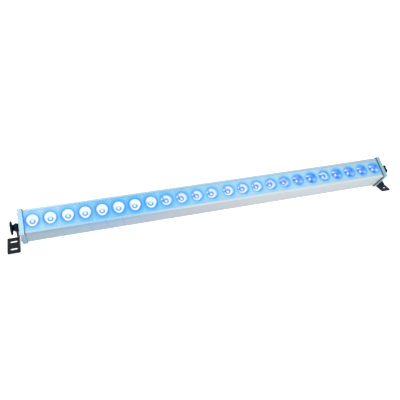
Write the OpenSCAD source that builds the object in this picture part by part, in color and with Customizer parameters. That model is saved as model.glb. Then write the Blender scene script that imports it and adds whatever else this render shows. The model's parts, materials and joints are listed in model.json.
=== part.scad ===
// LED strip batten: a square aluminium bar with one row of collimated light
// sources in its light face, carried at both ends on a tilting foot bracket
// that a lobed clamp knob locks. Millimetres, +Z up, floor at Z = 0,
// X along the bar, -Y towards the side that the light face leans to.

/* [Bar] */
// Length of the aluminium body between its two gaskets
body_len = 987; // [985:1:1010]
// Width of the body across the light face
body_w = 61; // [60:0.5:64]
// Depth of the body from the light face to the rear face
body_d = 58.5; // [57:0.5:62]
// Wall thickness of the extrusion
wall_t = 2.2; // [1.8:0.1:2.5]
// Visible width of the lip along each edge of the light face
lip_w = 5.3; // [4.5:0.1:6]
// Angle by which the light face leans from straight up, at rest
tilt = 32; // [0:1:60]

/* [Light sources] */
// Light sources behind each front plate
leds_per_plate = 6; // [6]
// Distance between neighbouring light sources
led_pitch = 41; // [40:0.25:41]
// Extra distance between the two middle light sources
middle_gap = 5.7; // [4:0.1:6]
// Diameter of a lens where it shows in the front plate
lens_d = 32.8; // [30:0.2:33]
// Thickness of a front plate
plate_t = 3; // [2:0.1:3]

/* [End caps] */
// Side of the square end cap
cap_size = 66; // [63:0.1:67]
// Thickness of an end cap at its edge
cap_t = 10; // [6:0.5:10]
// Rise of the cap's domed outer face towards its middle
cap_rise = 2.5; // [0:0.5:4]
// Thickness of the gasket between cap and body
gasket_t = 1.5; // [1.5:0.1:3]

/* [Brackets] */
// Height of the tilt axis above the floor
axis_height = 53.5; // [50:0.5:70]
// Gap between end cap and bracket arm, filled by the bush and the washer
arm_gap = 7; // [7:0.5:14]
// Thickness of the bracket's sheet steel
sheet_t = 3; // [2:0.5:4]
// Length of a foot outwards from the arm's inner face
foot_len = 30.5; // [28:0.5:50]
// Width of a foot, front to back
foot_w = 60; // [54:1:70]
// Width of the arm's upper part
arm_w = 22; // [22:1:32]
// Length of a fixing slot, end to end
slot_len = 18; // [12:0.5:20]
// Width of a fixing slot
slot_w = 9; // [6:0.5:10]
// Distance between the two slots of a foot
slot_spacing = 29; // [22:0.5:32]

/* [Clamp knobs] */
// Diameter of the knob across its lobes
knob_d = 35.5; // [30:0.5:40]
// Number of lobes
knob_lobes = 6; // [5:1:8]
// Diameter of the clamping stud
stud_d = 8; // [8]

/* [Hidden] */

$fn = 64;
eps = 0.01;
slip = 0.2;                               // gap round a part that slides in

// Section of the bar: Y across the light face, Z out of it, tilt axis at 0, 0
face_z = 30;
rear_z = face_z - body_d;
front_r = 1.2;
rear_r = 3;
half_w = body_w / 2;
inner_half_w = half_w - wall_t;
lip_t = 1.6;
plate_top_z = face_z - lip_t;
plate_z = plate_top_z - plate_t;
seal_t = 1;
ledge_z = plate_z - seal_t;
ledge_t = 2.2;
opening_half_w = half_w - lip_w;
plate_half_w = opening_half_w + 1.5;
ledge_half_w = opening_half_w - 2.7;
floor_z = rear_z + wall_t;

// Inner stack, from the rail up to the lens flange
rail_z = 4.6;
rail_t = 4;
rib_t = 2;
rib_len = 3.5;
board_z = rail_z + rail_t;
board_t = 1.6;
board_half_w = 25;
holder_z = board_z + board_t;
holder_half_w = 19.5;
flange_t = 1.1;
holder_top_z = plate_z - 0.1 - flange_t;
flange_r = lens_d / 2 + 1.2;
cup_z = 12.4;

// Light sources and front plates
plates = 4;
led_count = plates * leds_per_plate;
half_span = leds_per_plate * led_pitch + middle_gap / 2;
body_end = body_len / 2;
function led_x(i) = (i - (led_count - 1) / 2) * led_pitch
                  + (i < led_count / 2 ? -1 : 1) * middle_gap / 2;
plate_edges = [-body_end, -half_span, 0, half_span, body_end];
seam = 0.1;                               // half of the gap between two plates

// Screw channels of the extrusion
channel_r = 3.7;
channel_y = inner_half_w - channel_r + 0.2;
front_channel_z = ledge_z - ledge_t - channel_r + 0.1;
rear_channel_z = floor_z + channel_r - 0.2;
channels = [for (y = [-channel_y, channel_y])
            for (z = [rear_channel_z, front_channel_z]) [y, z]];
cap_screw_r = 2;

// Stack outwards from the body's end
cap_x = body_end + gasket_t;
cap_face_x = cap_x + cap_t;
washer_t = 1.5;
bush_r = 9.2;
arm_x = cap_face_x + arm_gap;
arm_face_x = arm_x + sheet_t;
thrust_t = 1.2;
rest_gap = 0.02;                          // thrust washer to arm, at rest
knob_x = arm_face_x + thrust_t;
knob_len = 12;
stud_r = stud_d / 2;
stud_start_x = body_end - 6;
foot_end_x = arm_x + foot_len;
bend_r = sheet_t + 1;
insert_depth = 10;

// Sockets on the back face of the bar
socket_z = -9.5;
socket_r = 8.6;
socket_bore_r = 6.6;
socket_bore_depth = 7;
flange_half = 12;
socket_gasket_t = 1;
socket_flange_t = 2.5;
socket_end_y = half_w + 8.5;
socket_back_y = 16;
socket_screw_pitch = 9.2;
power_in_x = -430;
data_in_x = -380;
data_out_x = 380;
power_out_x = 430;
socket_xs = [power_in_x, data_in_x, data_out_x, power_out_x];
vent_x = 330;
earth_x = -330;

// Power supply and control board in the lower chamber
supply_len = 180;
supply_half_w = 20;
supply_h = 25;
control_x = -300;
control_len = 120;
control_half_w = 20;
standoff_h = 4;
control_z = floor_z + standoff_h;
feed_xs = [-60, 60];
cable_r = 2.2;

aluminium = [0.80, 0.83, 0.85];
cap_silver = [0.75, 0.83, 0.88];
plate_blue = [0.66, 0.84, 0.95];
lens_blue = [0.35, 0.65, 1.0, 0.6];
black = [0.07, 0.08, 0.10];
rubber = [0.12, 0.14, 0.16];
steel = [0.62, 0.64, 0.66];
brass = [0.80, 0.66, 0.35];
board_green = [0.10, 0.35, 0.22];

// ---------------------------------------------------------------- helpers

// Places children, drawn about the tilt axis with the light face up, at rest
module in_bar() translate([0, 0, axis_height]) rotate([tilt, 0, 0]) children();

// Draws children at the right end (side 1) or mirrored at the left (side -1)
module at_end(side) {
  if (side > 0) children();
  else mirror([1, 0, 0]) children();
}

// Extrudes a section drawn in Y, Z along X
module along_x(x, len) translate([x, 0, 0]) rotate([90, 0, 90]) linear_extrude(len) children();

// Round bar along X, from x0 to x1
module rod_x(x0, x1, r) translate([x0, 0, 0]) rotate([0, 90, 0]) cylinder(h = x1 - x0, r = r);

// Round bar along Y, from y0 to y1, centred at x, z
module rod_y(x, z, y0, y1, r) translate([x, y0, z]) rotate([-90, 0, 0]) cylinder(h = y1 - y0, r = r);

// Rectangle about its centre with rounded corners
module rounded_rect(w, h, r) {
  square([w - 2 * r, h], center = true);
  square([w, h - 2 * r], center = true);
  for (x = [-1, 1], y = [-1, 1]) translate([x * (w / 2 - r), y * (h / 2 - r)]) circle(r);
}

// Box between two corners
module block(low, high) translate(low) cube(high - low);

// Fixed rows
module each_channel() for (p = channels) translate([0, p[0], p[1]]) children();
module each_socket() for (x = socket_xs) translate([x, 0, socket_z]) children();
module plate_leds(p) for (i = [p * leds_per_plate : (p + 1) * leds_per_plate - 1])
  translate([led_x(i), 0, 0]) children();

// Screw places of one LED board: beside every second gap between sources
module board_screw_places(p) for (i = [0, 2, 4], y = [-22.3, 22.3])
  translate([(led_x(p * leds_per_plate + i) + led_x(p * leds_per_plate + i + 1)) / 2, y, 0]) children();

// ---------------------------------------------------------------- bar body

module body_outline() {
  translate([-half_w, rear_z + rear_r]) square([body_w, body_d - rear_r - front_r]);
  translate([-half_w + rear_r, rear_z]) square([body_w - 2 * rear_r, rear_r + eps]);
  translate([-half_w + front_r, face_z - front_r - eps]) square([body_w - 2 * front_r, front_r + eps]);
  for (s = [-1, 1]) {
    translate([s * (half_w - rear_r), rear_z + rear_r]) circle(rear_r);
    translate([s * (half_w - front_r), face_z - front_r]) circle(front_r);
  }
}

module centred_slot(half, z0, z1) translate([-half, z0]) square([2 * half, z1 - z0]);

module extrusion_section() difference() {
  union() {
    difference() {
      body_outline();
      centred_slot(inner_half_w, floor_z, ledge_z - ledge_t);
      centred_slot(ledge_half_w, ledge_z - ledge_t - eps, ledge_z + eps);
      centred_slot(plate_half_w + slip, ledge_z, plate_top_z);
      centred_slot(opening_half_w, plate_top_z - eps, face_z + 1);
    }
    for (s = [-1, 1])
      translate([s * (inner_half_w + 0.5 - rib_len / 2), rail_z - rib_t / 2])
        square([rib_len + 1, rib_t], center = true);
    for (p = channels) translate(p) circle(channel_r);
  }
  for (p = channels) translate(p) circle(cap_screw_r);
}

module housing_extrusion() color(aluminium) in_bar() difference() {
  along_x(-body_end, body_len) extrusion_section();
  each_socket() rod_y(0, 0, inner_half_w - 1, half_w + 1, socket_r + slip);
  for (x = socket_xs) socket_screw_places(x) rod_y(0, 0, inner_half_w - 4, half_w + 1, 1.5);
  rod_y(vent_x, socket_z, inner_half_w - 1, half_w + 1, 4);
  rod_y(earth_x, socket_z, inner_half_w - 1, half_w + 1, 2.5);
  supply_screw_places() translate([0, 0, rear_z - 1]) cylinder(h = wall_t + 2, r = 2.1);
}

module front_plate(p) color(plate_blue) in_bar() difference() {
  block([plate_edges[p] + seam, -plate_half_w, plate_z],
        [plate_edges[p + 1] - seam, plate_half_w, plate_top_z]);
  plate_leds(p) {
    translate([0, 0, plate_z - 1]) cylinder(h = plate_t + 2, r = lens_d / 2 + slip);
    translate([0, 0, plate_top_z - 0.6]) cylinder(h = 1.2, r1 = lens_d / 2 + slip, r2 = lens_d / 2 + slip + 1.2);
  }
}

module front_seal() color(rubber) in_bar() difference() {
  block([-body_end, -plate_half_w, ledge_z], [body_end, plate_half_w, plate_z]);
  block([-body_end + 1.5, -ledge_half_w - 0.3, ledge_z - 1], [body_end - 1.5, ledge_half_w + 0.3, plate_z + 1]);
}

// ---------------------------------------------------------------- light sources

// Collimating lens: a cone that gathers the light, with a pocket for the
// emitter below and a well in the front surface
module lens_profile() polygon([
  [0, cup_z + 3.1], [3.4, cup_z + 3.1], [3.4, cup_z], [5.5, cup_z],
  [lens_d / 2 - 0.4, holder_top_z], [flange_r, holder_top_z],
  [flange_r, holder_top_z + flange_t], [lens_d / 2, holder_top_z + flange_t],
  [lens_d / 2, plate_top_z - 0.8], [lens_d / 2 - 0.8, plate_top_z - 0.2],
  [6.2, plate_top_z - 0.9], [5.2, plate_top_z - 4.5], [0, plate_top_z - 5.5]
]);

module lens_set(p) color(lens_blue) in_bar() plate_leds(p) rotate_extrude() lens_profile();

module lens_holder(p) color(black) in_bar() difference() {
  block([plate_edges[p] + 0.5, -holder_half_w, holder_z],
        [plate_edges[p + 1] - 0.5, holder_half_w, holder_top_z]);
  plate_leds(p) rotate_extrude() polygon([
    [0, holder_z - 1], [6.2, holder_z - 1], [6.2, cup_z],
    [lens_d / 2 + 0.2, holder_top_z], [lens_d / 2 + 0.2, holder_top_z + 1], [0, holder_top_z + 1]
  ]);
}

module led_board(p) color(board_green) in_bar() difference() {
  block([plate_edges[p] + 0.5, -board_half_w, board_z],
        [plate_edges[p + 1] - 0.5, board_half_w, holder_z]);
  board_screw_places(p) translate([0, 0, board_z - 1]) cylinder(h = board_t + 2, r = 1.6);
}

module led_emitters(p) color([0.95, 0.93, 0.75]) in_bar() plate_leds(p) {
  block([-2.5, -2.5, holder_z], [2.5, 2.5, holder_z + 1.2]);
  intersection() {
    translate([0, 0, holder_z + 1]) sphere(2.3);
    block([-3, -3, holder_z + 1], [3, 3, holder_z + 5]);
  }
}

module mounting_rail() color(aluminium) in_bar() difference() {
  block([-body_end + 14, -inner_half_w + slip, rail_z], [body_end - 14, inner_half_w - slip, board_z]);
  for (p = [0 : plates - 1])
    board_screw_places(p) translate([0, 0, rail_z - 1]) cylinder(h = rail_t + 2, r = 1.5);
  for (x = feed_xs) translate([x, 0, rail_z - 1]) cylinder(h = rail_t + 2, r = cable_r + 0.4);
}

module board_screws() color(steel) in_bar()
  for (p = [0 : plates - 1]) board_screw_places(p) {
    translate([0, 0, holder_z]) cylinder(h = 2, r = 2.4);
    translate([0, 0, rail_z + 0.4]) cylinder(h = holder_z - rail_z, r = 1.45);
  }

// ---------------------------------------------------------------- lower chamber

module supply_screw_places() for (x = [-70, 70]) translate([x, 0, 0]) children();

module power_supply() color([0.68, 0.70, 0.72]) in_bar() difference() {
  block([-supply_len / 2, -supply_half_w, floor_z], [supply_len / 2, supply_half_w, floor_z + supply_h]);
  supply_screw_places() translate([0, 0, floor_z - 1]) cylinder(h = 9, r = 2);
}

module power_supply_screws() color(steel) in_bar() supply_screw_places() difference() {
  union() {
    translate([0, 0, rear_z - 2.2]) cylinder(h = 2.2, r = 3.8);
    translate([0, 0, rear_z - eps]) cylinder(h = wall_t + 6, r = 1.95);
  }
  translate([0, 0, rear_z - 3]) cylinder(h = 2, r = 1.7, $fn = 6);
}

module standoff_places() for (x = [control_x + 6, control_x + control_len - 6], y = [-15, 15])
  translate([x, y, 0]) children();

module board_standoffs() color(brass) in_bar() standoff_places() {
  translate([0, 0, floor_z]) cylinder(h = standoff_h, r = 3);
  translate([0, 0, floor_z + standoff_h - eps]) cylinder(h = 1.6 + eps, r = 1.45);
  translate([0, 0, control_z + 1.6]) cylinder(h = 1.6, r = 2.6);
}

module control_board() color(board_green) in_bar() difference() {
  block([control_x, -control_half_w, control_z], [control_x + control_len, control_half_w, control_z + 1.6]);
  standoff_places() translate([0, 0, control_z - 1]) cylinder(h = 4, r = 1.5);
}

// Each driver part: place along the board, place across it, length, width, height
driver_parts = [[16, 5, 10, 10, 13.5], [34, -8, 14, 14, 3], [54, 4, 9, 9, 2.2],
                [68, -8, 9, 9, 2.2], [84, -8, 14, 10, 8], [100, 5, 10, 8, 5]];

module control_board_parts() color([0.15, 0.15, 0.16]) in_bar()
  for (d = driver_parts)
    block([control_x + d[0], d[1], control_z + 1.6],
          [control_x + d[0] + d[2], d[1] + d[3], control_z + 1.6 + d[4]]);

// Cable that leaves a socket's back, turns a corner and runs along the bar
module socket_cable(x, y, end_x) {
  rod_y(x, socket_z, y, socket_back_y, cable_r);
  translate([x, y, socket_z]) sphere(cable_r);
  translate([0, y, socket_z]) rod_x(min(x, end_x), max(x, end_x), cable_r);
}

// Upright piece of cable with a rounded corner at each of its two ends
module riser(x, y, z0, z1) {
  translate([x, y, z0]) cylinder(h = z1 - z0, r = cable_r);
  for (z = [z0, z1]) translate([x, y, z]) sphere(cable_r);
}

module internal_wiring() color([0.2, 0.2, 0.22]) in_bar() {
  supply_end = supply_len / 2;
  over_supply_z = (floor_z + supply_h + rail_z) / 2;
  data_top_x = control_x + 105;
  socket_cable(power_in_x, 0, -supply_end);
  socket_cable(power_out_x, 0, supply_end);
  socket_cable(data_in_x, 10, control_x + 16);
  socket_cable(data_out_x, 10, supply_end + 10);
  riser(supply_end + 10, 10, socket_z, over_supply_z);
  translate([0, 10, over_supply_z]) rod_x(data_top_x, supply_end + 10, cable_r);
  translate([data_top_x, 10, over_supply_z]) sphere(cable_r);
  translate([data_top_x, 10, control_z + 6.6]) cylinder(h = over_supply_z - control_z - 6.6, r = cable_r);
  translate([0, -3, -16]) rod_x(control_x + 98, -supply_end, cable_r);
  for (x = feed_xs)
    translate([x, 0, floor_z + supply_h]) cylinder(h = board_z - floor_z - supply_h, r = cable_r);
}

// ---------------------------------------------------------------- sockets

module socket_screw_places(x) for (sx = [-1, 1], sz = [-1, 1])
  translate([x + sx * socket_screw_pitch, 0, socket_z + sz * socket_screw_pitch]) children();

// Round panel socket with a square flange; its contacts are holes in the
// face at the bottom of the sleeve
module panel_socket(x, contacts, contact_circle_r) color(black) in_bar() difference() {
  union() {
    translate([x, half_w + socket_gasket_t, socket_z]) rotate([-90, 0, 0])
      linear_extrude(socket_flange_t) rounded_rect(2 * flange_half, 2 * flange_half, 2.5);
    rod_y(x, socket_z, socket_back_y, socket_end_y, socket_r);
  }
  rod_y(x, socket_z, socket_end_y - socket_bore_depth, socket_end_y + 1, socket_bore_r);
  socket_screw_places(x) rod_y(0, 0, half_w, half_w + 5, 1.6);
  for (i = [0 : contacts - 1]) {
    a = 90 + i * 360 / contacts;
    rod_y(x + contact_circle_r * cos(a), socket_z + contact_circle_r * sin(a),
          socket_end_y - socket_bore_depth - 4, socket_end_y - socket_bore_depth + 1, 0.9);
  }
}

module socket_gaskets() color(rubber) in_bar() for (x = socket_xs) difference() {
  translate([x, half_w, socket_z]) rotate([-90, 0, 0])
    linear_extrude(socket_gasket_t) rounded_rect(2 * flange_half, 2 * flange_half, 2.5);
  rod_y(x, socket_z, half_w - 1, half_w + 3, socket_r + slip);
  socket_screw_places(x) rod_y(0, 0, half_w - 1, half_w + 3, 1.6);
}

module socket_screws() color(steel) in_bar() for (x = socket_xs) socket_screw_places(x) difference() {
  union() {
    rod_y(0, 0, inner_half_w - 3, half_w + socket_gasket_t + socket_flange_t + eps, 1.45);
    rod_y(0, 0, half_w + socket_gasket_t + socket_flange_t, half_w + socket_gasket_t + socket_flange_t + 1.7, 2.6);
  }
  translate([0, half_w + socket_gasket_t + socket_flange_t + 0.7, 0])
    rotate([-90, 0, 0]) cylinder(h = 2, r = 1.3, $fn = 6);
}

module vent_plug() color(black) in_bar() difference() {
  union() {
    rod_y(vent_x, socket_z, inner_half_w - 3, half_w + eps, 3.9);
    rod_y(vent_x, socket_z, half_w, half_w + 3, 7);
    rod_y(vent_x, socket_z, half_w + 3 - eps, half_w + 5, 5.5);
  }
  for (i = [0 : 5])
    rod_y(vent_x + 3 * cos(60 * i), socket_z + 3 * sin(60 * i), half_w + 3.5, half_w + 6, 0.7);
}

module earth_terminal() color(brass) in_bar() {
  rod_y(earth_x, socket_z, inner_half_w - 4, half_w + 7, 2.45);
  translate([earth_x, half_w, socket_z]) rotate([-90, 0, 0]) cylinder(h = 3.2, r = 4.6, $fn = 6);
}

// ---------------------------------------------------------------- bar ends

module cap_gasket(side) color(rubber) in_bar() at_end(side) difference() {
  along_x(body_end, gasket_t) rounded_rect(cap_size - 1, cap_size - 1, 2.5);
  each_channel() rod_x(body_end - 1, cap_x + 1, cap_screw_r + slip);
  rod_x(body_end - 1, cap_x + 1, 10);
}

module end_cap(side) color(cap_silver) in_bar() at_end(side) difference() {
  hull() {
    along_x(cap_x, cap_t - 1.2) rounded_rect(cap_size, cap_size, 3, $fn = 32);
    along_x(cap_x, cap_t) rounded_rect(cap_size - 2.4, cap_size - 2.4, 2.4, $fn = 32);
    rod_x(cap_x, cap_face_x + cap_rise, 14, $fn = 32);
  }
  each_channel() rod_x(cap_x - 1, cap_face_x + 1, cap_screw_r + slip);
  each_channel() rod_x(cap_face_x, cap_face_x + cap_rise + 1, 4.3);
  rod_x(cap_x - 1, cap_face_x + 1, 7);
  rod_x(cap_face_x, cap_face_x + cap_rise + 1, bush_r + slip);
}

module cap_screws(side) color(steel) in_bar() at_end(side) each_channel() difference() {
  union() {
    rod_x(cap_face_x, cap_face_x + 2.4, 3.7);
    rod_x(body_end - 10, cap_face_x + eps, cap_screw_r - 0.05);
  }
  rod_x(cap_face_x + 0.9, cap_face_x + 3, 1.7, $fn = 6);
}

module threaded_insert(side) color(brass) in_bar() at_end(side) difference() {
  union() {
    rod_x(body_end - insert_depth, cap_face_x, 6.5);
    rod_x(body_end, cap_x, 9);
  }
  rod_x(body_end - insert_depth - 1, cap_face_x + 1, stud_r + 0.05);
}

module spacer_bush(side) color(black) in_bar() at_end(side) difference() {
  rod_x(cap_face_x, arm_x - washer_t, bush_r);
  rod_x(cap_face_x - 1, arm_x, stud_r + 0.3);
}

module friction_washer(side) color(rubber) in_bar() at_end(side) difference() {
  rod_x(arm_x - washer_t, arm_x, 10);
  rod_x(arm_x - washer_t - 1, arm_x + 1, stud_r + 0.3);
}

// ---------------------------------------------------------------- brackets

// Bent sheet seen along Y: X outwards, arm up the inner side, foot on the floor
module bent_sheet_section() {
  translate([arm_x, bend_r]) square([sheet_t, axis_height + arm_w / 2 - bend_r]);
  translate([arm_x + bend_r, 0]) square([foot_len - bend_r, sheet_t]);
  translate([arm_x + bend_r, bend_r]) difference() {
    circle(bend_r);
    circle(bend_r - sheet_t);
    translate([0, -2 * bend_r]) square(4 * bend_r);
    translate([-2 * bend_r, 0]) square(4 * bend_r);
  }
}

// Arm seen along X: round at the tilt axis, flared down to the foot
module arm_outline() {
  flare_top = axis_height - 20;
  flare_foot = axis_height - 27;
  translate([0, axis_height]) circle(arm_w / 2);
  translate([-arm_w / 2, flare_top]) square([arm_w, 20]);
  polygon([[-arm_w / 2, flare_top + eps], [arm_w / 2, flare_top + eps],
           [foot_w / 2, flare_foot], [foot_w / 2, 0], [-foot_w / 2, 0], [-foot_w / 2, flare_foot]]);
}

module slot_opening() {
  square([slot_len - slot_w, slot_w], center = true);
  for (s = [-1, 1]) translate([s * (slot_len - slot_w) / 2, 0]) circle(slot_w / 2);
}

module bracket(side) color(black) at_end(side) difference() {
  intersection() {
    translate([0, foot_w / 2, 0]) rotate([90, 0, 0]) linear_extrude(foot_w) bent_sheet_section();
    union() {
      along_x(arm_x - 1, sheet_t + 1) arm_outline();
      translate([arm_x - 10, 0, -1]) linear_extrude(bend_r + 5)
        translate([(foot_len + 10) / 2, 0]) rounded_rect(foot_len + 10, foot_w, 3);
    }
  }
  translate([0, 0, axis_height]) rod_x(arm_x - 1, arm_face_x + 1, stud_r + 0.08);
  for (y = [-1, 1]) translate([arm_x + foot_len / 2, y * slot_spacing / 2, -1])
    linear_extrude(sheet_t + 2) slot_opening();
}

// ---------------------------------------------------------------- clamp knobs

module thrust_washer(side) color(black) in_bar() at_end(side) difference() {
  rod_x(arm_face_x + rest_gap, knob_x, 9.5);
  rod_x(arm_face_x - 1, knob_x + 1, stud_r + 0.3);
}

// Hourglass profile of the knob: radius, height above the washer
module knob_profile() polygon([
  [0, 0], [10, 0], [10, 1.4], [7.6, 3.2], [7.4, 4.4], [9.5, 5.6],
  [knob_d / 2 - 1.2, 6.4], [knob_d / 2, 7.2], [knob_d / 2, 9.6],
  [knob_d / 2 - 1.2, 10.6], [knob_d / 2 - 5, 11.5], [0, knob_len]
]);

module lobes() {
  lobe_r = knob_d * 0.14;
  circle(knob_d / 2 - 2.6);
  for (i = [0 : knob_lobes - 1]) rotate(i * 360 / knob_lobes)
    translate([knob_d / 2 - lobe_r, 0]) circle(lobe_r);
}

module knob(side) color(black) in_bar() at_end(side) difference() {
  translate([knob_x, 0, 0]) rotate([0, 90, 0]) intersection() {
    rotate_extrude() knob_profile();
    linear_extrude(knob_len) lobes();
  }
  rod_x(knob_x - 1, knob_x + 8, stud_r);
}

module knob_stud(side) color(steel) in_bar() at_end(side) rod_x(stud_start_x, knob_x + 8, stud_r);

// ---------------------------------------------------------------- nodes

housing_extrusion();
end_cap(-1);  // left_end_cap
end_cap(1);  // right_end_cap
cap_gasket(-1);  // left_cap_gasket
cap_gasket(1);  // right_cap_gasket
cap_screws(-1);  // left_cap_screws
cap_screws(1);  // right_cap_screws
threaded_insert(-1);  // left_threaded_insert
threaded_insert(1);  // right_threaded_insert
spacer_bush(-1);  // left_spacer_bush
spacer_bush(1);  // right_spacer_bush
friction_washer(-1);  // left_friction_washer
friction_washer(1);  // right_friction_washer
front_plate(0);  // front_plate_1
front_plate(1);  // front_plate_2
front_plate(2);  // front_plate_3
front_plate(3);  // front_plate_4
lens_set(0);  // lens_set_1
lens_set(1);  // lens_set_2
lens_set(2);  // lens_set_3
lens_set(3);  // lens_set_4
lens_holder(0);  // lens_holder_1
lens_holder(1);  // lens_holder_2
lens_holder(2);  // lens_holder_3
lens_holder(3);  // lens_holder_4
led_board(0);  // led_board_1
led_board(1);  // led_board_2
led_board(2);  // led_board_3
led_board(3);  // led_board_4
led_emitters(0);  // led_emitters_1
led_emitters(1);  // led_emitters_2
led_emitters(2);  // led_emitters_3
led_emitters(3);  // led_emitters_4
front_seal();
mounting_rail();
board_screws();
power_supply();
power_supply_screws();
control_board();
control_board_parts();
board_standoffs();
internal_wiring();
panel_socket(power_in_x, 3, 3.4);  // power_inlet
panel_socket(power_out_x, 3, 3.4);  // power_outlet
panel_socket(data_in_x, 5, 4);  // data_inlet
panel_socket(data_out_x, 5, 4);  // data_outlet
socket_gaskets();
socket_screws();
vent_plug();
earth_terminal();
bracket(-1);  // left_bracket
bracket(1);  // right_bracket
thrust_washer(-1);  // left_thrust_washer
thrust_washer(1);  // right_thrust_washer
knob(-1);  // left_knob
knob(1);  // right_knob
knob_stud(-1);  // left_knob_stud
knob_stud(1);  // right_knob_stud
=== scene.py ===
"""Looks of the LED strip batten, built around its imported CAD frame.

Pieces on the bar are drawn in millimetres in the bar's own frame (X along it,
Y across the light face, Z out of it, tilt axis at 0, 0) and then put in place
with BAR. Floor, lamps and camera are placed in metres in the row frame.
"""

import json
import math

import bmesh
import bpy
from mathutils import Matrix, Vector


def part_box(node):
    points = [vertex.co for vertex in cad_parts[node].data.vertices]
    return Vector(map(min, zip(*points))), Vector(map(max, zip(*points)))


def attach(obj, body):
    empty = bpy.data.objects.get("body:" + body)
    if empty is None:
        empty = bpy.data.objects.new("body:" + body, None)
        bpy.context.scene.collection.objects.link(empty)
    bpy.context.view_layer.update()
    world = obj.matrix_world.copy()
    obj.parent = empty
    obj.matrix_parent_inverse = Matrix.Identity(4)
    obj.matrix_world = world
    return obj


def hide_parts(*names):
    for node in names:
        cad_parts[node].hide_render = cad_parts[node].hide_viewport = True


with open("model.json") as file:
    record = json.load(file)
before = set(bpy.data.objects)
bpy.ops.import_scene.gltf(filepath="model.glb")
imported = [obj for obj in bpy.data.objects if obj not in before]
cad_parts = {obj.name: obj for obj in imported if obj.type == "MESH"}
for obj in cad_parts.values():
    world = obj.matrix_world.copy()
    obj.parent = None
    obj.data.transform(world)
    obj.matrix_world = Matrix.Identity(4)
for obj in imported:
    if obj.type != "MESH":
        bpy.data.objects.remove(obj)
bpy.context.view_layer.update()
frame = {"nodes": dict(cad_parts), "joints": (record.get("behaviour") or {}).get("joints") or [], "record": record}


def reach(node):
    """Where a CAD node starts and ends along X, in mm."""
    return [round(1000 * corner.x, 3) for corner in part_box(node)]


MM = Matrix.Scale(0.001, 4)
TILT = math.radians(32)
AXIS_HEIGHT = 1000 * next(j["pos_m"][2] for j in frame["joints"] if j["name"] == "left_bracket_tilt")
BAR = Matrix.Translation((0, 0, AXIS_HEIGHT / 1000)) @ Matrix.Rotation(TILT, 4, "X") @ MM
SIDES = (("left", -1), ("right", 1))

# section of the bar
FACE_Z = 30
BODY_DEPTH = 58.5
SOCKET_Z = -9.5
SCREW_PLACES = [(y, z) for y in (-24.8, 24.8) for z in (-22.8, 18.6)]

# light sources: distance from one to the next, extra distance at the middle, number, lens radius
PITCH, MIDDLE_GAP, LEDS = 41, 5.7, 24
LENS_R = 16.35

# stack outwards from the body's right end
BODY_END = reach("housing_extrusion")[1]
CAP_FACE_X, BUSH_END = reach("right_spacer_bush")
RING_X, RING_END = reach("right_friction_washer")
WASHER_X, KNOB_X = reach("right_thrust_washer")
STUD_X, STUD_END = reach("right_knob_stud")


def led_x(i):
    """Place along the bar of source i, counted from 0 at the left end."""
    return (i - (LEDS - 1) / 2) * PITCH + (-1 if i < LEDS / 2 else 1) * MIDDLE_GAP / 2


# ---------------------------------------------------------------- node trees


class Val:
    """A number that a node tree works out. Arithmetic on it adds Math nodes."""

    def __init__(self, graph, socket):
        self.graph, self.socket = graph, socket

    def __add__(self, other):
        return self.graph.math("ADD", self, other)

    def __sub__(self, other):
        return self.graph.math("SUBTRACT", self, other)

    def __rsub__(self, other):
        return self.graph.math("SUBTRACT", other, self)

    def __mul__(self, other):
        return self.graph.math("MULTIPLY", self, other)

    def __truediv__(self, other):
        return self.graph.math("DIVIDE", self, other)

    __radd__, __rmul__ = __add__, __mul__

    def clamp(self):
        return self.graph.math("ADD", self, 0, clamp=True)

    def step(self, low, high):
        """0 below low, 1 above high, smooth between them; high may be the lower one."""
        node = self.graph.add("ShaderNodeMapRange", interpolation_type="SMOOTHSTEP")
        for at, value in enumerate((self, low, high, 0, 1)):
            self.graph.put(node.inputs[at], value)
        return Val(self.graph, node.outputs[0])


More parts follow.
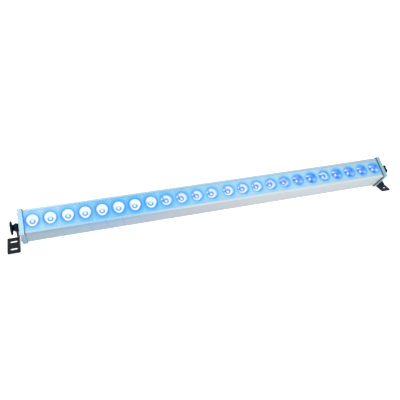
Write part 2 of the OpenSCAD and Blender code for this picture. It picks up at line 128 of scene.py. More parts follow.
class Graph:
    """A material's node tree with its Principled shader, and short ways to add nodes."""

    def __init__(self, name):
        self.material = bpy.data.materials.new(name)
        self.material.use_nodes = True
        self.tree = self.material.node_tree
        self.shader = self.tree.nodes["Principled BSDF"]

    def add(self, kind, **settings):
        node = self.tree.nodes.new(kind)
        for key, value in settings.items():
            setattr(node, key, value)
        return node

    def put(self, socket, value):
        if isinstance(value, Val):
            value = value.socket
        if isinstance(value, bpy.types.NodeSocket):
            self.tree.links.new(value, socket)
        elif isinstance(value, (tuple, list)) and len(socket.default_value) == 4:
            socket.default_value = (*value[:3], 1)
        else:
            socket.default_value = value

    def set(self, **values):
        for key, value in values.items():
            self.put(self.shader.inputs[key.replace("_", " ")], value)

    def math(self, operation, *values, clamp=False):
        node = self.add("ShaderNodeMath", operation=operation, use_clamp=clamp)
        for socket, value in zip(node.inputs, values):
            self.put(socket, value)
        return Val(self, node.outputs[0])

    def mix(self, share, a, b, blend="MIX"):
        node = self.add("ShaderNodeMix", data_type="RGBA", blend_type=blend)
        node.clamp_factor = True
        for at, value in ((0, share), (6, a), (7, b)):
            self.put(node.inputs[at], value)
        return node.outputs[2]

    def ramp(self, share, stops):
        """A colour that changes along share, which runs from 0 to 1, through stops of (share, colour)."""
        node = self.add("ShaderNodeValToRGB")
        self.put(node.inputs[0], share)
        elements = node.color_ramp.elements
        elements.remove(elements[1])
        for at, (where, color) in enumerate(stops):
            element = elements[0] if at == 0 else elements.new(where)
            element.position = where
            element.color = (*color, 1)
        return node.outputs[0]

    def toned(self, color, tone):
        """The colour times a number."""
        node = self.add("ShaderNodeVectorMath", operation="SCALE")
        self.put(node.inputs[0], color)
        self.put(node.inputs["Scale"], tone)
        return node.outputs[0]

    def place(self):
        """Object coordinates, which move with the piece."""
        return self.add("ShaderNodeTexCoord").outputs["Object"]

    def stretched(self, scale, turn=(0, 0, 0)):
        node = self.add("ShaderNodeMapping")
        self.put(node.inputs["Vector"], self.place())
        node.inputs["Rotation"].default_value = turn
        node.inputs["Scale"].default_value = scale
        return node.outputs[0]

    def noise(self, vector, scale, detail=3, rough=0.55):
        node = self.add("ShaderNodeTexNoise")
        self.put(node.inputs["Vector"], vector)
        node.inputs["Scale"].default_value = scale
        node.inputs["Detail"].default_value = detail
        node.inputs["Roughness"].default_value = rough
        return Val(self, node.outputs[0])

    def bump(self, height, distance_mm, strength=1.0):
        node = self.add("ShaderNodeBump")
        node.inputs["Strength"].default_value = strength
        node.inputs["Distance"].default_value = distance_mm / 1000
        self.put(node.inputs["Height"], height)
        self.put(self.shader.inputs["Normal"], node.outputs[0])

    def bar_space(self):
        """The point in the bar's own frame: along, across and out of the light face, in mm."""
        split = self.add("ShaderNodeSeparateXYZ")
        self.put(split.inputs[0], self.place())
        x, y, z = (Val(self, s) * 1000 for s in split.outputs)
        z = z - AXIS_HEIGHT
        c, s = math.cos(TILT), math.sin(TILT)
        return x, y * c + z * s, z * c - y * s

    def led_space(self, x, y):
        """The point measured from the nearest light source, its polar form, and that source's number."""
        side = self.math("SIGN", x)
        along = (self.math("ABSOLUTE", x) - MIDDLE_GAP / 2) / PITCH
        cell = self.math("MINIMUM", self.math("MAXIMUM", self.math("FLOOR", along), 0), LEDS / 2 - 1)
        dx = (along - cell - 0.5) * side * PITCH
        number = (cell + 0.5) * side + (LEDS - 1) / 2
        r = self.math("SQRT", dx * dx + y * y)
        angle = self.math("ARCTAN2", y, dx)
        return dx, y, r, angle, number

    def spot(self, dx, dy, x, y, wide, high):
        """A soft spot: 1 at x, y, falling to nothing over about wide and high."""
        a, b = (dx - x) / wide, (dy - y) / high
        return self.math("EXPONENT", (a * a + b * b) * -1)

    def band(self, value, middle, half):
        """1 where value is at middle, falling to nothing over about half."""
        a = (value - middle) / half
        return self.math("EXPONENT", a * a * -1)


def plain(name, color, rough, metal=0.0, grain=(900, 0.03), mottle=(14, 0.06), stretch=(1, 1, 1),
          specular=0.5):
    """A finish with a fine grain (scale, depth in mm), uneven colour (scale, amount) and uneven gloss."""
    g = Graph(name)
    vector = g.stretched(stretch)
    fine = g.noise(vector, grain[0], 3)
    large = g.noise(vector, mottle[0], 4)
    tone = (large - 0.5) * 2 * mottle[1] + (fine - 0.5) * mottle[1] + 1
    g.set(Base_Color=g.toned(color, tone), Metallic=metal,
          Roughness=((large - 0.5) * 0.12 + (fine - 0.5) * 0.12 + rough).clamp(),
          Specular_IOR_Level=specular)
    g.bump(fine, grain[1])
    return g.material


# ---------------------------------------------------------------- materials


# Painted light and shade: colours that change along the bar, which is lit white at its left end and deep blue at
# its right end, with each face lighter or darker as the light falls on it:
# the places, as shares of its length, and the colour of each part at each of those places.
ALONG = (0.06, 0.17, 0.28, 0.42, 0.58, 0.73, 0.90)
SIDE_TONES = ((0.28, 0.37, 0.43), (0.29, 0.39, 0.50), (0.34, 0.41, 0.48), (0.40, 0.43, 0.46),
              (0.45, 0.48, 0.50), (0.48, 0.51, 0.54), (0.46, 0.50, 0.53))
LOWER_LIP_TONES = ((0.38, 0.54, 0.66), (0.28, 0.53, 0.75), (0.34, 0.55, 0.72), (0.50, 0.63, 0.71),
                   (0.52, 0.64, 0.72), (0.55, 0.66, 0.72), (0.54, 0.64, 0.69))
UPPER_LIP_TONES = ((0.41, 0.59, 0.74), (0.33, 0.57, 0.77), (0.34, 0.54, 0.70), (0.43, 0.57, 0.66),
                   (0.44, 0.57, 0.65), (0.43, 0.55, 0.62), (0.44, 0.56, 0.63))
PLATE_TONES = ((0.42, 0.65, 0.70), (0.26, 0.59, 0.71), (0.30, 0.59, 0.71), (0.38, 0.51, 0.54),
               (0.43, 0.56, 0.62), (0.39, 0.56, 0.64), (0.33, 0.48, 0.58))
HALO_TONES = ((0.09, 0.39, 0.69), (0.07, 0.33, 0.65), (0.01, 0.30, 0.69), (0.07, 0.45, 0.78),
              (0.15, 0.48, 0.75), (0.10, 0.46, 0.80), (0.01, 0.39, 0.83))


def stops(colors):
    """Pairs of place and colour, for Graph.ramp."""
    return list(zip(ALONG, colors))


def aluminium():
    """Satin anodised extrusion: fine lines along it, with painted blue light spilt on it from the sources and
    painted light and shade on its faces.
    """
    g = Graph("extrusion_aluminium")
    x, y, z = g.bar_space()
    lines = g.noise(g.stretched((4, 1400, 1400)), 1, 2)
    cloud = g.noise(g.stretched((3, 20, 20)), 1, 3)
    tone = (lines - 0.5) * 0.05 + (cloud - 0.5) * 0.06 + 1
    share = (x + BODY_END) / (2 * BODY_END)
    left = share.step(0.5, 0.2)
    depth = (FACE_Z - z) / BODY_DEPTH
    # painted light and shade: each face has its own tone along the bar, the side face darker than the lips
    side = g.ramp(share, stops(SIDE_TONES))
    # painted light: the left half of the side face is bluer below the lip and lighter towards the rear
    side = g.mix(depth.step(0.42, 0.05) * left, side, g.mix(1, side, (0.66, 0.84, 0.955), "MULTIPLY"))
    side = g.toned(side, depth.step(0.5, 0.9) * (left * 0.06 - 0.02) + 1)
    lower_lip = g.ramp(share, stops(LOWER_LIP_TONES))
    upper_lip = g.ramp(share, stops(UPPER_LIP_TONES))
    outer = z.step(29.0, 27.6) * g.math("ABSOLUTE", y).step(27, 29)
    metal = g.mix(outer, g.mix(y.step(-5, 5), lower_lip, upper_lip), side)
    # one thin streak of light down the side face below each of the brighter sources
    dx, _, _, _, number = g.led_space(x, y)
    streak = g.band(dx - depth * 12, 3.5, 1.7) * g.band(number, 4.3, 2.2)
    streak = streak * depth.step(1.1, 0) * y.step(-29, -30.4)
    metal = g.mix(streak * 0.9, metal, (0.10, 0.32, 0.78))
    # shadow along the upper rear edge, near the right end
    metal = g.mix(y.step(28.0, 29.0) * x.step(300, 480) * 0.9, metal, (0.05, 0.07, 0.09))
    # and a painted contact shadow where the body meets the gasket at that end
    gasket_contact_shadow = x.step(BODY_END - 2.1, BODY_END - 0.5) * z.step(29, 26)
    metal = g.mix(gasket_contact_shadow * 0.85, metal, (0.05, 0.07, 0.08))
    g.set(Base_Color=g.toned(metal, tone), Metallic=0.3, Roughness=((cloud - 0.5) * 0.12 + 0.45).clamp())
    g.bump(lines, 0.012, 0.6)
    return g.material


def cap_coat():
    """Fine satin silver coat of the end caps, with painted blue light on their light sides and painted light that
    makes the left outer face pale.
    """
    g = Graph("cap_silver")
    x, _, z = g.bar_space()
    fine = g.noise(g.place(), 1600, 2)
    cloud = g.noise(g.place(), 30, 3)
    left = x.step(100, -100)
    # painted light and shade: the left cap lighter than the right, bluer towards the light face, and its outer
    # face pale
    color = g.mix(left, (0.285, 0.418, 0.495), (0.225, 0.350, 0.425))
    color = g.mix(z.step(26, 31), color, g.mix(left, (0.265, 0.455, 0.57), (0.365, 0.585, 0.755)))
    color = g.mix(x.step(0.2 - CAP_FACE_X, -0.3 - CAP_FACE_X), color, (0.56, 0.70, 0.77))
    # painted contact shadow beside the right gasket
    gasket_contact_shadow = x.step(BODY_END + 2.7, BODY_END + 1.7) * x.step(480, 490) * z.step(30, 26)
    color = g.mix(gasket_contact_shadow * 0.8, color, (0.06, 0.09, 0.11))
    tone = (fine - 0.5) * 0.08 + (cloud - 0.5) * 0.08 + 1
    g.set(Base_Color=g.toned(color, tone), Metallic=0.35, Roughness=((cloud - 0.5) * 0.2 + 0.45).clamp())
    g.bump(fine, 0.02, 0.5)
    return g.material


def plate_satin():
    """Pale satin front plate with each source's blue halo and its rays as painted light, a faint painted glow, and
    a painted shadow line at the seams.
    """
    g = Graph("front_plate")
    x, y, _ = g.bar_space()
    _, _, r, angle, number = g.led_space(x, y)
    fine = g.noise(g.place(), 1300, 2)
    cloud = g.noise(g.place(), 22, 3)
    share = (x + BODY_END) / (2 * BODY_END)
    # painted light from each source: a blue halo round it and, at the left, rays out from it
    halo = g.math("EXPONENT", (r - 16.6) * (number.step(14, 21) * -0.22 - 0.09)).clamp()
    color = g.mix(halo, g.ramp(share, stops(PLATE_TONES)), g.ramp(share, stops(HALO_TONES)))
    wander = (g.noise(g.place(), 160, 2) - 0.5) * 2.6
    rays = g.math("SINE", angle * 23 + wander + number * 2.1).step(-0.2, 0.9)
    rays = rays * g.math("EXPONENT", (r - 17) * -0.07) * g.band(number, 4.3, 3.4) * x.step(300, 200)
    color = g.mix((rays * 0.66).clamp(), color, (0.01, 0.22, 0.82))
    # painted blue light along the edge beside the left gasket
    edge = x.step(5.5 - BODY_END, 1.5 - BODY_END) * y.step(-22, -12) * y.step(18, 8)
    color = g.mix(edge * 0.45, color, (0.02, 0.24, 0.80))
    # the seams between the plates lie halfway between two sources
    outer_seam = LEDS / 4 * PITCH + MIDDLE_GAP / 2
    seam = g.band(g.math("ABSOLUTE", x) - outer_seam, 0, 0.7) + g.band(x, 0, 0.7)
    color = g.mix((seam * 0.35).clamp(), color, (0.22, 0.36, 0.46))
    tint = g.toned(color, (fine - 0.5) * 0.04 + (cloud - 0.5) * 0.05 + 1)
    # the plate also glows faintly in its own colour: painted light
    g.set(Base_Color=tint, Roughness=((cloud - 0.5) * 0.1 + 0.42).clamp(),
          Emission_Color=tint, Emission_Strength=0.12, Specular_IOR_Level=0.35)
    g.bump(fine, 0.012, 0.5)
    return g.material


# Soft spots of painted light and painted reflection seen in the lenses: place, width, height, strength and colour.
# The first two of the middle sources lie behind the pale ring, the others in front of it.
MIDDLE_SPOTS = ((-8, 11, 9, 4, 0.5, (0.30, 0.40, 0.92)), (1, -13, 8, 3, 0.8, (0.01, 0.20, 0.74)),
                (-9.5, 0.5, 3.4, 2.4, 0.8, (0.01, 0.13, 0.55)), (11, -1, 3, 6, 0.5, (0.50, 0.72, 0.93)),
                (-13, 3.4, 3.4, 2.6, 0.9, (0.80, 0.84, 0.96)))
DEEP_SPOTS = ((-8, 11, 7, 4, 0.45, (0.16, 0.28, 0.86)), (8.5, 6.5, 5.0, 5.5, 0.95, (0.00, 0.20, 0.82)),
              (-1, 6, 5.5, 4, 0.75, (0.22, 0.42, 0.90)), (-3, -10.5, 5.5, 4, 0.9, (0.00, 0.14, 0.70)),
              (-12, 1.6, 4.5, 2.4, 1.0, (0.00, 0.08, 0.48)), (0.4, -0.5, 2.4, 4.5, 0.8, (0.01, 0.14, 0.58)),
              (-10.2, 6.4, 4.6, 2.3, 1.0, (0.76, 0.84, 0.97)), (-10, -7.5, 2.8, 2.4, 0.6, (0.40, 0.60, 0.93)))


def lens_glow():
    """Clear lens over a lit blue source, its glow painted on: white-hot at the left end of the bar, deep blue at
    the right end, with painted highlights and reflections.
    """
    g = Graph("lens_clear")
    x, y, _ = g.bar_space()
    dx, dy, r, _, number = g.led_space(x, y)
    ripple = g.noise(g.place(), 260, 3)
    hot = number.step(7.9, 7.1)
    deep = number.step(14, 18)
    middle = (1 - hot - deep).clamp()
    white = (0.85, 0.96, 0.98)

    def spots(color, places, weight):
        for at_x, at_y, wide, high, strength, tint in places:
            share = g.spot(dx, dy, at_x, at_y, wide, high) * weight * (strength * 1.15)
            color = g.mix(share.clamp(), color, tint)
        return color

    # the emitter, seen low and to the left in the well of the lens
    ex, ey = dx + number.step(0, 19) * 5.8 - 0.4, dy + 2.8
    er = g.math("SQRT", ex * ex + ey * ey)

    color = (0.06, 0.29, 0.84)
    # middle sources: a lavender edge round a white ring that is open at the left
    color = g.mix(g.band(r, 13.5, 2.6) * middle * 0.7, color, (0.22, 0.42, 0.90))
    color = spots(color, MIDDLE_SPOTS[:2], middle)
    ring_r = g.math("SQRT", (dx + 1) * (dx + 1) + dy * dy)
    ring = g.band(ring_r, 8.6, number.step(10, 15) * -0.7 + 3.5) * dx.step(-9, -4)
    color = g.mix((ring * middle * 1.3).clamp(), color, (0.76, 0.90, 0.95))
    color = spots(color, MIDDLE_SPOTS[2:], middle)
    # right sources: a paler edge, dark and light spots of painted glow and reflection, and one source that still
    # shows the ring
    color = g.mix(r.step(11.5, 15.5) * deep * 0.45, color, (0.26, 0.52, 0.94))
    color = spots(color, DEEP_SPOTS, deep)
    color = g.mix((ring * g.band(number, 19, 0.4)).clamp(), color, (0.60, 0.80, 0.97))
    glint = g.spot(dx, dy, 7, -6.6, 4.8, 3.8) * deep * (number.step(22.2, 22.9) * 0.6 + 0.7)
    color = g.mix(glint.clamp(), color, (0.50, 0.72, 0.96))
    # left sources: a white disc with a narrower foot, so that its blue edge is thicker at the lower left
    upper = g.math("SQRT", (dx - 0.6) * (dx - 0.6) + (dy - 1.8) * (dy - 1.8)).step(15.2, 12.0)
    foot = g.math("SQRT", dx * dx + (dy + 5.2) * (dy + 5.2)).step(11.0, 8.4)
    color = g.mix(g.math("MAXIMUM", upper, foot) * hot, color, white)
    shade = g.spot(dx, dy, -12, -3, 4.5, 9) * number.step(4, 8) * hot
    color = g.mix(shade * 0.7, color, (0.10, 0.36, 0.84))
    well = g.band(er, 5.1, hot * 0.4 + 1.5) * (ey.step(6, -2) * (hot * 0.2 + 0.6) + 0.3) * (1 - deep)
    color = g.mix((well * 1.25).clamp(), color, g.mix(hot, (0.02, 0.21, 0.72), (0.02, 0.22, 0.68)))
    # a pale crescent: a painted reflection of the emitter in the wall of the lens
    crescent = g.band(er, 9.2, 1.8) * ey.step(1, -5) * (1 - deep)
    color = g.mix((crescent * 1.1).clamp(), color, (0.86, 0.95, 0.98))
    color = g.mix((g.spot(ex, ey, 0, 0, 2.9, 2.9) * 1.6).clamp(), color, white)
    color = g.mix(r.step(14.8, 16.2) * 0.8, color, g.mix(deep, (0.08, 0.36, 0.90), (0.10, 0.40, 0.88)))
    g.set(Base_Color=(0.01, 0.03, 0.08), Roughness=(ripple * 0.06 + 0.08).clamp(),
          Specular_IOR_Level=0.2, Emission_Color=color, Emission_Strength=1.0)
    g.bump(ripple, 0.05, 0.5)
    return g.material


def seal_rubber():
    """Black rubber; the left gasket glows with painted blue light from the source next to it, and both gaskets
    carry painted light on their faces.
    """
    g = Graph("seal_rubber")
    x, y, z = g.bar_space()
    fine = g.noise(g.place(), 1400, 3)
    cloud = g.noise(g.place(), 60, 3)
    left_gasket = x.step(2.5 - BODY_END, 0.5 - BODY_END) * x.step(-CAP_FACE_X, 5 - CAP_FACE_X)
    right_gasket = x.step(BODY_END - 2.5, BODY_END - 0.5) * x.step(CAP_FACE_X, CAP_FACE_X - 5)
    # painted blue light on the lit part of the left gasket, as colour and as glow
    lit = left_gasket * z.step(24, 28) * y.step(-29, -23) * y.step(30, 25)
    blue = g.mix(y.step(-22, -12) * y.step(22, 10), (0.01, 0.13, 0.28), (0.01, 0.20, 0.60))
    color = g.mix(lit, (0.006, 0.010, 0.014), blue)
    # painted light: the left gasket pale towards the rear, the right gasket pale all over and most towards the
    # light face
    color = g.mix(left_gasket * z.step(29, 24), color, (0.24, 0.34, 0.40))
    color = g.mix(right_gasket * (z.step(24, 29) * 0.45 + 0.15), color, (0.15, 0.32, 0.42))
    tone = (fine - 0.5) * 0.1 + (cloud - 0.5) * 0.15 + 1
    g.set(Base_Color=g.toned(color, tone), Roughness=((cloud - 0.5) * 0.2 + 0.75).clamp(),
          Specular_IOR_Level=0.2, Emission_Color=blue, Emission_Strength=lit * 0.45)
    g.bump(fine, 0.02, 0.5)
    return g.material


def powder_coat():
    """Black fine-texture powder coat with a little wear."""
    g = Graph("bracket_black")
    grain = g.noise(g.place(), 1500, 3, 0.65)
    cloud = g.noise(g.place(), 40, 4)
    scuff = g.noise(g.stretched((90, 900, 300), (0.3, 0.2, 0.6)), 1, 3).step(0.66, 0.78)
    color = g.mix(cloud, (0.004, 0.009, 0.020), (0.008, 0.014, 0.026))
    color = g.mix(scuff * 0.35, color, (0.07, 0.08, 0.09))
    g.set(Base_Color=color, Roughness=((grain - 0.5) * 0.2 + 0.55).clamp(), Metallic=0.0,
          Specular_IOR_Level=0.135)
    g.bump(grain, 0.06, 0.7)
    return g.material


def turned(name, color, rough=0.3):
    """Turned or plated metal with fine rings round the bar's axis."""
    g = Graph(name)
    rings = g.noise(g.stretched((2600, 60, 60)), 1, 2)
    cloud = g.noise(g.place(), 60, 3)
    tint = g.toned(color, (cloud - 0.5) * 0.25 + (rings - 0.5) * 0.1 + 1)
    g.set(Base_Color=tint, Metallic=1.0, Roughness=((rings - 0.5) * 0.2 + rough).clamp())
    g.bump(rings, 0.02, 0.5)
    return g.material


def circuit_board():
    """Green solder mask with faint tracks under it."""
    g = Graph("board_green")
    tracks = g.add("ShaderNodeTexBrick")
    g.put(tracks.inputs["Vector"], g.place())
    tracks.inputs["Scale"].default_value = 160
    tracks.inputs["Mortar Size"].default_value = 0.03
    lines = Val(g, tracks.outputs["Fac"])
    cloud = g.noise(g.place(), 50, 2)
    color = g.mix(lines * 0.6, (0.015, 0.11, 0.05), (0.05, 0.22, 0.10))
    g.set(Base_Color=color, Roughness=((cloud - 0.5) * 0.2 + 0.35).clamp())
    g.bump(lines, 0.03, 0.4)
    return g.material


def emitter_glow():
    """Lit silicone dome on a white package."""
    g = Graph("emitter")
    cloud = g.noise(g.place(), 900, 2)
    color = g.mix(cloud, (0.35, 0.60, 1.0), (0.80, 0.92, 1.0))
    g.set(Base_Color=color, Roughness=0.2, Emission_Color=color, Emission_Strength=1.5)
    return g.material


MATERIALS = {
    "extrusion_aluminium": aluminium(),
    "cap_silver": cap_coat(),
    "seal_rubber": seal_rubber(),
    "screw_steel": turned("screw_steel", (0.52, 0.54, 0.57)),
    "washer_black": plain("washer_black", (0.003, 0.012, 0.030), 0.5, grain=(1800, 0.04), mottle=(70, 0.2),
                          specular=0.15),
    "brass": turned("brass", (0.60, 0.43, 0.16), 0.28),
    "bush_plastic": plain("bush_plastic", (0.002, 0.008, 0.022), 0.65, grain=(1400, 0.03), mottle=(70, 0.2),
                          specular=0.06),
    "front_plate": plate_satin(),
    "lens_clear": lens_glow(),
    "holder_black": plain("holder_black", (0.02, 0.022, 0.025), 0.55, grain=(1200, 0.03)),
    "led_board_white": plain("led_board_white", (0.72, 0.74, 0.74), 0.4, grain=(700, 0.02)),
    "supply_case": plain("supply_case", (0.42, 0.44, 0.46), 0.38, 0.9, grain=(1, 0.02),
                         stretch=(4, 900, 900)),
    "board_green": circuit_board(),
    "component_black": plain("component_black", (0.02, 0.02, 0.022), 0.45, grain=(1500, 0.02)),
    "cable_black": plain("cable_black", (0.018, 0.018, 0.02), 0.4, grain=(600, 0.04), mottle=(80, 0.2)),
    "socket_black": plain("socket_black", (0.018, 0.021, 0.026), 0.48, grain=(1900, 0.05), mottle=(45, 0.2)),
    "bracket_black": powder_coat(),
    "knob_black": plain("knob_black", (0.001, 0.006, 0.020), 0.5, grain=(2100, 0.06), mottle=(70, 0.25),
                        specular=0.12),
    "emitter": emitter_glow(),
    "accent_blue": plain("accent_blue", (0.03, 0.16, 0.55), 0.4, grain=(1500, 0.03)),
    "accent_grey": plain("accent_grey", (0.50, 0.52, 0.54), 0.4, grain=(1500, 0.03)),
}

# ---------------------------------------------------------------- mesh code


def circle(radius, count):
    """Points round a circle."""
    steps = [2 * math.pi * i / count for i in range(count)]
    return [(radius * math.cos(a), radius * math.sin(a)) for a in steps]


def hexagon(radius, count):
    """As many points along a hexagon with its corners at radius, for joining to a circle of them."""
    points = []
    for i in range(count):
        a = 2 * math.pi * i / count
        from_flat = (a % (math.pi / 3)) - math.pi / 6
        r = radius * math.cos(math.pi / 6) / math.cos(from_flat)
        points.append((r * math.cos(a), r * math.sin(a)))
    return points


def loft(sections, closed=True):
    """A mesh that joins sections, each (place along X, list of (y, z)), closed at both ends if wanted."""
    mesh = bmesh.new()
    rings = [[mesh.verts.new((x, y, z)) for y, z in points] for x, points in sections]
    for a, b in zip(rings, rings[1:]):
        for i in range(len(a)):
            j = (i + 1) % len(a)
            mesh.faces.new((a[i], a[j], b[j], b[i]))
    if closed:
        for ring in (rings[0], rings[-1]):
            middle = mesh.verts.new(sum((v.co for v in ring), Vector()) / len(ring))
            for i in range(len(ring)):
                mesh.faces.new((ring[i], ring[(i + 1) % len(ring)], middle))
    return mesh


def turn(profile, closed=True):
    """A mesh turned round X from a list of (x, radius)."""
    return loft([(x, circle(r, 64)) for x, r in profile], closed)


def turned_ring(profile):
    """The same for a ring: the end of the profile is joined to its start."""
    mesh = turn(profile, closed=False)
    bmesh.ops.bridge_loops(mesh, edges=[e for e in mesh.edges if e.is_boundary])
    return mesh


def copies(draw, moves):
    """One mesh with what draw makes at each of the moves."""
    mesh = bmesh.new()
    for move in moves:
        one = draw()
        one.transform(move)
        flat = bpy.data.meshes.new("one")
        one.to_mesh(flat)
        one.free()
        mesh.from_mesh(flat)
        bpy.data.meshes.remove(flat)
    return mesh


def finish_piece(name, mesh, body, slot, nodes=(), place=BAR, side=1, material=None, sharp=32):
    """Makes a piece of the mesh, at its place in the row frame, riding on its body.

    Side -1 mirrors what is drawn for the right end to the left end.
    """
    bmesh.ops.remove_doubles(mesh, verts=mesh.verts, dist=1e-5)
    mesh.transform(Matrix.Scale(side, 4, (1, 0, 0)))
    bmesh.ops.recalc_face_normals(mesh, faces=mesh.faces)
    mesh.transform(place)
    data = bpy.data.meshes.new(name)
    mesh.to_mesh(data)
    mesh.free()
    data.materials.append(MATERIALS[material or slot])
    data.shade_smooth()
    data.set_sharp_from_angle(angle=math.radians(sharp))
    piece = bpy.data.objects.new(name, data)
    bpy.context.scene.collection.objects.link(piece)
    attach(piece, body)
    if nodes:
        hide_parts(*nodes)
    return piece


def refined(name, node, body, slot, width):
    """A copy of a CAD node with its sharp edges rounded, width in mm."""
    mesh = bmesh.new()
    mesh.from_mesh(frame["nodes"][node].data)
    bmesh.ops.remove_doubles(mesh, verts=mesh.verts, dist=2e-6)
    bmesh.ops.dissolve_limit(mesh, angle_limit=math.radians(0.6), verts=mesh.verts, edges=mesh.edges)
    piece = finish_piece(name, mesh, body, slot, (node,), place=Matrix.Identity(4))
    bevel = piece.modifiers.new("edges", "BEVEL")
    bevel.width = width / 1000
    bevel.segments = 2
    bevel.limit_method = "ANGLE"
    bevel.angle_limit = math.radians(35)
    bevel.harden_normals = True


# ---------------------------------------------------------------- shapes of the pieces


def lens_front():
    """A glossy rim, a step, a crowned front and a shallow well; heights are out of the light face."""
    rim = [(24.4, LENS_R), (27.6, LENS_R), (28.0, LENS_R - 0.1), (28.2, LENS_R - 0.4), (28.25, 15.5)]
    step = [(28.2, 15.1), (27.95, 14.85), (27.75, 14.6), (27.75, 14.2)]
    crown = [(27.9, 13.0), (28.05, 11.0), (28.15, 9.0), (28.15, 7.4), (28.05, 6.7), (27.75, 6.2)]
    well = [(27.2, 5.8), (26.8, 5.3), (26.6, 4.4), (26.6, 3.2), (26.75, 2.4), (27.0, 1.6), (27.1, 0.8)]
    mesh = turn(rim + step + crown + well)
    mesh.transform(Matrix.Rotation(-math.pi / 2, 4, "Y"))
    return mesh


def screw_head():
    """Button head with a hexagon socket, on the end cap."""
    count = 48
    outside = [(0, circle(3.7, count)), (1.8, circle(3.7, count)), (2.2, circle(3.55, count)),
               (2.4, circle(3.2, count))]
    socket = [(2.4, hexagon(1.85, count)), (2.25, hexagon(1.7, count)), (0.9, hexagon(1.7, count)),
              (0.8, circle(0.6, count))]
    return loft([(CAP_FACE_X + height, points) for height, points in outside + socket])


def bush():
    """Spacer bush with a groove round it."""
    x = CAP_FACE_X
    return turn([(x, 9.2), (x + 2.7, 9.2), (x + 3.0, 8.8), (x + 4.2, 8.8), (x + 4.5, 9.2), (x + 5.1, 9.1),
                 (BUSH_END, 8.7)])


def friction_ring():
    """Rubber washer with rounded edges between the bush and the bracket's arm."""
    start, end = RING_X, RING_END
    return turn([(start, 9.6), (start + 0.15, 9.9), (start + 0.4, 10.0), (end - 0.4, 10.0),
                 (end - 0.15, 9.9), (end, 9.6)])


def washer_disc():
    """Thrust washer with rounded outer edges and an open bore."""
    x = WASHER_X
    return turned_ring([(x, 4.4), (x, 9.2), (x + 0.13, 9.42), (x + 0.38, 9.5), (x + 0.88, 9.5),
                        (x + 1.06, 9.42), (KNOB_X, 9.2), (KNOB_X, 4.4)])


def threaded_stud():
    """M8 thread, drawn as a ridge that goes round once in each pitch."""
    count, pitch, root, ridge = 32, 1.25, 3.5, 0.47
    first, last = STUD_X + 0.7, STUD_END - 0.2
    steps = round((last - first) / (pitch / 6))
    sections = [(STUD_X, circle(3.2, count))]
    for k in range(steps + 1):
        x = first + (last - first) * k / steps
        points = []
        for i in range(count):
            phase = (x / pitch - i / count) % 1
            height = min(1.0, max(0.0, 2.4 * (1 - abs(2 * phase - 1)) - 0.6))
            radius = root + ridge * height
            a = 2 * math.pi * i / count
            points.append((radius * math.cos(a), radius * math.sin(a)))
        sections.append((x, points))
    return loft(sections)


def lobed_knob():
    """Hub, waist, six-lobed grip, and a crowned middle behind a groove."""
    hub = [(0.0, 9.6), (0.15, 9.9), (0.4, 10.0), (1.2, 10.0), (1.6, 9.6)]
    waist = [(2.4, 8.3), (3.2, 7.6), (4.2, 7.45), (4.9, 8.0), (5.5, 9.8)]
    grip = [(6.0, 13.0), (6.4, 15.8), (6.8, 17.1), (7.3, 17.65), (8.2, 17.75), (9.3, 17.7), (10.0, 17.3),
            (10.5, 16.4), (10.9, 14.8), (11.2, 12.6), (11.35, 10.6), (11.4, 9.0)]
    crown = [(11.3, 8.6), (11.0, 8.3), (10.95, 7.8), (11.3, 7.4), (11.6, 6.6), (11.8, 5.0), (11.9, 3.0),
             (11.95, 1.4)]
    count, lobes, lobe_depth, flatness, round_r = 120, 6, 1.4, 1.7, 9.6
    sections = []
    for height, radius in hub + waist + grip + crown:
        # round up to round_r, and fully lobed 4 mm further out
        lobed = min(1.0, max(0.0, (radius - round_r) / 4.0))
        points = []
        for i in range(count):
            a = 2 * math.pi * i / count
            wave = math.tanh(flatness * math.cos(lobes * a)) / math.tanh(flatness)
            r = radius - lobed * lobe_depth * (1 - wave)
            points.append((r * math.cos(a), r * math.sin(a)))
        sections.append((KNOB_X + height, points))
    return loft(sections)


def sleeve_band(x):
    """Coloured band round the sleeve of the socket at x on the back face."""
    mesh = turned_ring([(35.6, 8.3), (35.6, 8.6), (35.7, 8.66), (37.5, 8.66), (37.6, 8.6), (37.6, 8.3)])
    mesh.transform(Matrix.Translation((x, 0, SOCKET_Z)) @ Matrix.Rotation(math.pi / 2, 4, "Z"))
    return mesh


# ---------------------------------------------------------------- pieces

for name, node in frame["nodes"].items():
    slot_name = next(p["material_slot"] for p in frame["record"]["subparts"] if p["node"] == name)
    node.data.materials.clear()
    node.data.materials.append(MATERIALS[slot_name])

PER_PLATE = LEDS // 4
for plate in range(4):
    sources = range(plate * PER_PLATE, (plate + 1) * PER_PLATE)
    mesh = copies(lens_front, [Matrix.Translation((led_x(i), 0, 0)) for i in sources])
    finish_piece(f"lens_fronts_{plate + 1}", mesh, "housing", "lens_clear",
                 (f"lens_set_{plate + 1}",), sharp=50)

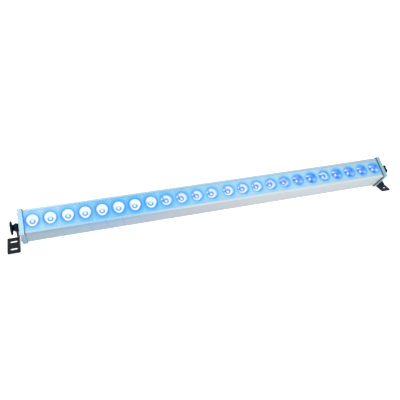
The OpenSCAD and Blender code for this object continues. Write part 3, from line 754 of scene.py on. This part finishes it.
SCREW_MOVES = [Matrix.Translation((0, y, z)) for y, z in SCREW_PLACES]
for label, side in SIDES:
    refined(f"{label}_cap_cover", f"{label}_end_cap", "housing", "cap_silver", 0.5)
    finish_piece(f"{label}_cap_screw_heads", copies(screw_head, SCREW_MOVES), "housing", "screw_steel",
                 (f"{label}_cap_screws",), side=side)
    finish_piece(f"{label}_bush_ribbed", bush(), "housing", "bush_plastic",
                 (f"{label}_spacer_bush",), side=side)
    finish_piece(f"{label}_friction_ring", friction_ring(), "housing", "seal_rubber",
                 (f"{label}_friction_washer",), side=side)
    # the moving end: washer, threaded stud, lobed knob and bracket
    finish_piece(f"{label}_washer_disc", washer_disc(), f"{label}_washer", "washer_black",
                 (f"{label}_thrust_washer",), side=side)
    finish_piece(f"{label}_threaded_stud", threaded_stud(), f"{label}_knob", "screw_steel",
                 (f"{label}_knob_stud",), side=side, sharp=60)
    finish_piece(f"{label}_lobed_knob", lobed_knob(), f"{label}_knob", "knob_black",
                 (f"{label}_knob",), side=side, sharp=40)
    refined(f"{label}_bracket_sheet", f"{label}_bracket", f"{label}_bracket", "bracket_black", 0.45)

# sockets on the back face; the power sockets have a coloured band on the sleeve
for node, x, accent in (("power_inlet", -430, "accent_blue"), ("data_inlet", -380, None),
                        ("data_outlet", 380, None), ("power_outlet", 430, "accent_grey")):
    refined(f"{node}_body", node, "housing", "socket_black", 0.3)
    if accent:
        finish_piece(f"{node}_band", sleeve_band(x), "housing", "socket_black", material=accent)
refined("vent_cap", "vent_plug", "housing", "socket_black", 0.35)
refined("earth_stud", "earth_terminal", "housing", "brass", 0.25)

# ---------------------------------------------------------------- stage, light and camera


def floor_finish():
    """White floor with a glow of its own, as the photo's plain ground."""
    g = Graph("floor_white")
    cloud = g.noise(g.place(), 3, 2)
    color = g.mix(cloud, (0.52, 0.52, 0.52), (0.56, 0.56, 0.56))
    g.set(Base_Color=color, Roughness=0.9, Specular_IOR_Level=0.1,
          Emission_Color=(1, 1, 1), Emission_Strength=0.75)
    return g.material


def add_floor():
    mesh = bmesh.new()
    bmesh.ops.create_grid(mesh, x_segments=8, y_segments=8, size=15)
    data = bpy.data.meshes.new("floor")
    mesh.to_mesh(data)
    mesh.free()
    data.materials.append(floor_finish())
    floor = bpy.data.objects.new("floor", data)
    bpy.context.scene.collection.objects.link(floor)


def add_world():
    world = bpy.data.worlds.new("studio")
    world.use_nodes = True
    background = world.node_tree.nodes["Background"]
    background.inputs["Color"].default_value = (1, 1, 1, 1)
    background.inputs["Strength"].default_value = 1
    bpy.context.scene.world = world


def soft_light(name, place, power):
    """A disk of light, 2 m wide, that shines at the middle of the feet."""
    light = bpy.data.lights.new(name, "AREA")
    light.shape = "DISK"
    light.size = 2
    light.energy = power
    lamp = bpy.data.objects.new(name, light)
    bpy.context.scene.collection.objects.link(lamp)
    lamp.location = place
    lamp.rotation_euler = (-Vector(place)).to_track_quat("-Z", "Y").to_euler()


def add_camera():
    """The photo's viewpoint: its place is measured from the tilt axis."""
    data = bpy.data.cameras.new("camera")
    data.lens = 44.07
    data.sensor_width = 36
    data.clip_end = 100
    camera = bpy.data.objects.new("camera", data)
    bpy.context.scene.collection.objects.link(camera)
    place = Vector((-0.4157, -1.0191, 0.7175 + AXIS_HEIGHT / 1000))
    right = Vector((0.9485, -0.3149, 0.0345))
    up = Vector((0.1476, 0.5353, 0.8316))
    forward = Vector((0.2803, 0.7837, -0.5542))
    turned_to = Matrix((right, up, -forward)).transposed().to_4x4()
    camera.matrix_world = Matrix.Translation(place) @ turned_to
    bpy.context.scene.camera = camera


add_floor()
add_world()
soft_light("key", (-1.2, -1.2, 2.6), 20)
soft_light("fill", (1.6, 1.6, 1.8), 8)
add_camera()
bpy.context.scene.view_settings.view_transform = "Standard"
